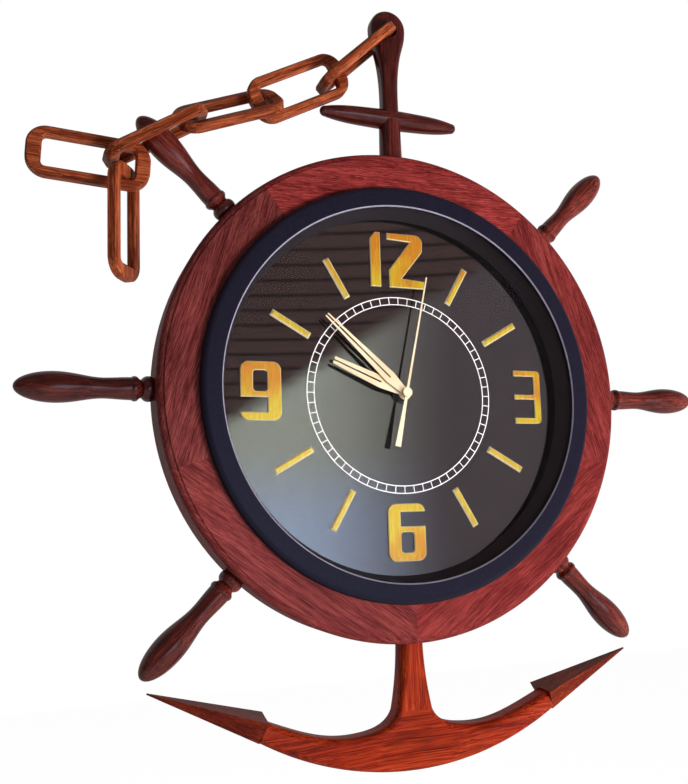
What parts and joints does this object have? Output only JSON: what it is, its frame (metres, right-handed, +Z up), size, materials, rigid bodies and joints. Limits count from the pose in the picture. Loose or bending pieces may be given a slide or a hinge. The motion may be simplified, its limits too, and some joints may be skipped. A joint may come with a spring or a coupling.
{
  "type": "ship's-wheel wall clock",
  "caption": "Wall clock in a hardwood ship's wheel: turned handles, an anchor through the rim, a draped wooden chain, and a quartz clock with a black dial and gold markers.",
  "frame": {"origin": "centre of the keyhole's round hole, on the wall plane behind the top of the rim", "axes": "+X to the right as seen from the front, +Y into the wall (the dial faces -Y), +Z up"},
  "size_m": [0.5282, 0.0395, 0.5605],
  "materials": {
    "rim": "satin varnish",
    "handle": "satin varnish",
    "anchor": "satin varnish",
    "chain": "satin varnish",
    "dowel": "raw beech",
    "bezel": "satin black",
    "glass": "clear flat glass",
    "chapter": "matte black",
    "dial": "gloss black",
    "marker": "polished gold",
    "hand": "pale gold",
    "case": "moulded black",
    "gear": "moulded acetal",
    "steel": "zinc plated",
    "nut": "turned brass",
    "coil": "enamelled copper wire",
    "board": "solder mask",
    "battery": "printed wrap"
  },
  "bodies": {
    "frame": {"anchor_arms": "anchor", "anchor_dowels": "dowel", "anchor_shank": "anchor", "anchor_stem": "anchor", "anchor_stock": "anchor", "battery": "battery", "battery_contacts": "steel", "bezel": "bezel", "bushing_nut": "nut", "chapter_ring": "chapter", "circuit_board": "board", "clip_screws": "steel", "coil": "coil", "cover_screws": "steel", "crystal": "glass", "dial_plate": "dial", "dial_retainer": "chapter", "dial_washer": "steel", "felloe_dowels": "dowel", "fluke_left": "anchor", "fluke_right": "anchor", "handle_left": "handle", "handle_lower_left": "handle", "handle_lower_right": "handle", "handle_right": "handle", "handle_upper_left": "handle", "handle_upper_right": "handle", "hanger_plate": "steel", "hanger_screws": "steel", "hour_batons": "marker", "hour_numerals": "marker", "movement_case": "case", "movement_cover": "case", "retaining_clips": "steel", "rim_felloe_1": "rim", "rim_felloe_2": "rim", "rim_felloe_3": "rim", "rim_felloe_4": "rim", "rim_felloe_5": "rim", "shank_post": "anchor", "stator": "steel"},
    "seconds": {"seconds_wheel": "gear", "second_hand": "hand"},
    "minute": {"centre_wheel": "gear", "minute_hand": "hand"},
    "hour": {"hour_wheel": "gear", "hour_hand": "hand"},
    "third": {"third_wheel": "gear"},
    "motion": {"minute_wheel": "gear"},
    "setting": {"setting_arbor": "gear", "setting_knob": "case"},
    "intermediate": {"intermediate_wheel": "gear"},
    "rotor": {"rotor": "gear"},
    "link_1": {"chain_link_1": "chain"},
    "link_2": {"chain_link_2": "chain"},
    "link_3": {"chain_link_3": "chain"},
    "link_4": {"chain_link_4": "chain"},
    "link_5": {"chain_link_5": "chain"},
    "link_6": {"chain_link_6": "chain"}
  },
  "joints": [
    {"name": "link_1_swing", "type": "hinge", "parent": "frame", "child": "link_1", "pos_m": [0, -0.018, 0.1175], "axis": [0, 1, 0], "range_deg": [0, 34]},
    {"name": "link_2_swing", "type": "hinge", "parent": "link_1", "child": "link_2", "pos_m": [-0.05069, -0.018, 0.06939], "axis": [0, 1, 0], "range_deg": [0, 28]},
    {"name": "link_3_swing", "type": "hinge", "parent": "link_2", "child": "link_3", "pos_m": [-0.09087, -0.018, 0.05037], "axis": [0, 1, 0], "range_deg": [0, 7]},
    {"name": "link_4_swing", "type": "hinge", "parent": "link_3", "child": "link_4", "pos_m": [-0.14496, -0.018, 0.03093], "axis": [0, 1, 0], "range_deg": [0, 17]},
    {"name": "link_5_swing", "type": "hinge", "parent": "link_4", "child": "link_5", "pos_m": [-0.20291, -0.018, -0.00103], "axis": [0, 1, 0], "range_deg": [0, 14]},
    {"name": "link_6_swing", "type": "hinge", "parent": "link_5", "child": "link_6", "pos_m": [-0.19599, -0.018, -0.0155], "axis": [-0.5446, -0.8387, 0], "range_deg": [-3, 14]},
    {"name": "seconds_spin", "type": "hinge", "parent": "frame", "child": "seconds", "pos_m": [0, 0, -0.163], "axis": [0, 1, 0], "continuous": true},
    {"name": "minute_spin", "type": "hinge", "parent": "frame", "child": "minute", "pos_m": [0, 0, -0.163], "axis": [0, 1, 0], "continuous": true},
    {"name": "hour_spin", "type": "hinge", "parent": "frame", "child": "hour", "pos_m": [0, 0, -0.163], "axis": [0, 1, 0], "continuous": true},
    {"name": "third_spin", "type": "hinge", "parent": "frame", "child": "third", "pos_m": [0.00935, 0, -0.1576], "axis": [0, 1, 0], "continuous": true},
    {"name": "motion_spin", "type": "hinge", "parent": "frame", "child": "motion", "pos_m": [-0.00649, 0, -0.15925], "axis": [0, 1, 0], "continuous": true},
    {"name": "setting_spin", "type": "hinge", "parent": "frame", "child": "setting", "pos_m": [-0.01299, 0, -0.1555], "axis": [0, 1, 0], "continuous": true},
    {"name": "intermediate_spin", "type": "hinge", "parent": "frame", "child": "intermediate", "pos_m": [-0.00779, 0, -0.1675], "axis": [0, 1, 0], "continuous": true},
    {"name": "rotor_spin", "type": "hinge", "parent": "frame", "child": "rotor", "pos_m": [-0.01479, 0, -0.1675], "axis": [0, 1, 0], "continuous": true}
  ],
  "couplings": [
    {"joint": "third_spin", "follows": "seconds_spin", "ratio": -0.13333},
    {"joint": "minute_spin", "follows": "seconds_spin", "ratio": 0.016667},
    {"joint": "motion_spin", "follows": "seconds_spin", "ratio": -0.0055556},
    {"joint": "hour_spin", "follows": "seconds_spin", "ratio": 0.0013889},
    {"joint": "setting_spin", "follows": "seconds_spin", "ratio": 0.016667},
    {"joint": "intermediate_spin", "follows": "seconds_spin", "ratio": -5},
    {"joint": "rotor_spin", "follows": "seconds_spin", "ratio": 30}
  ]
}
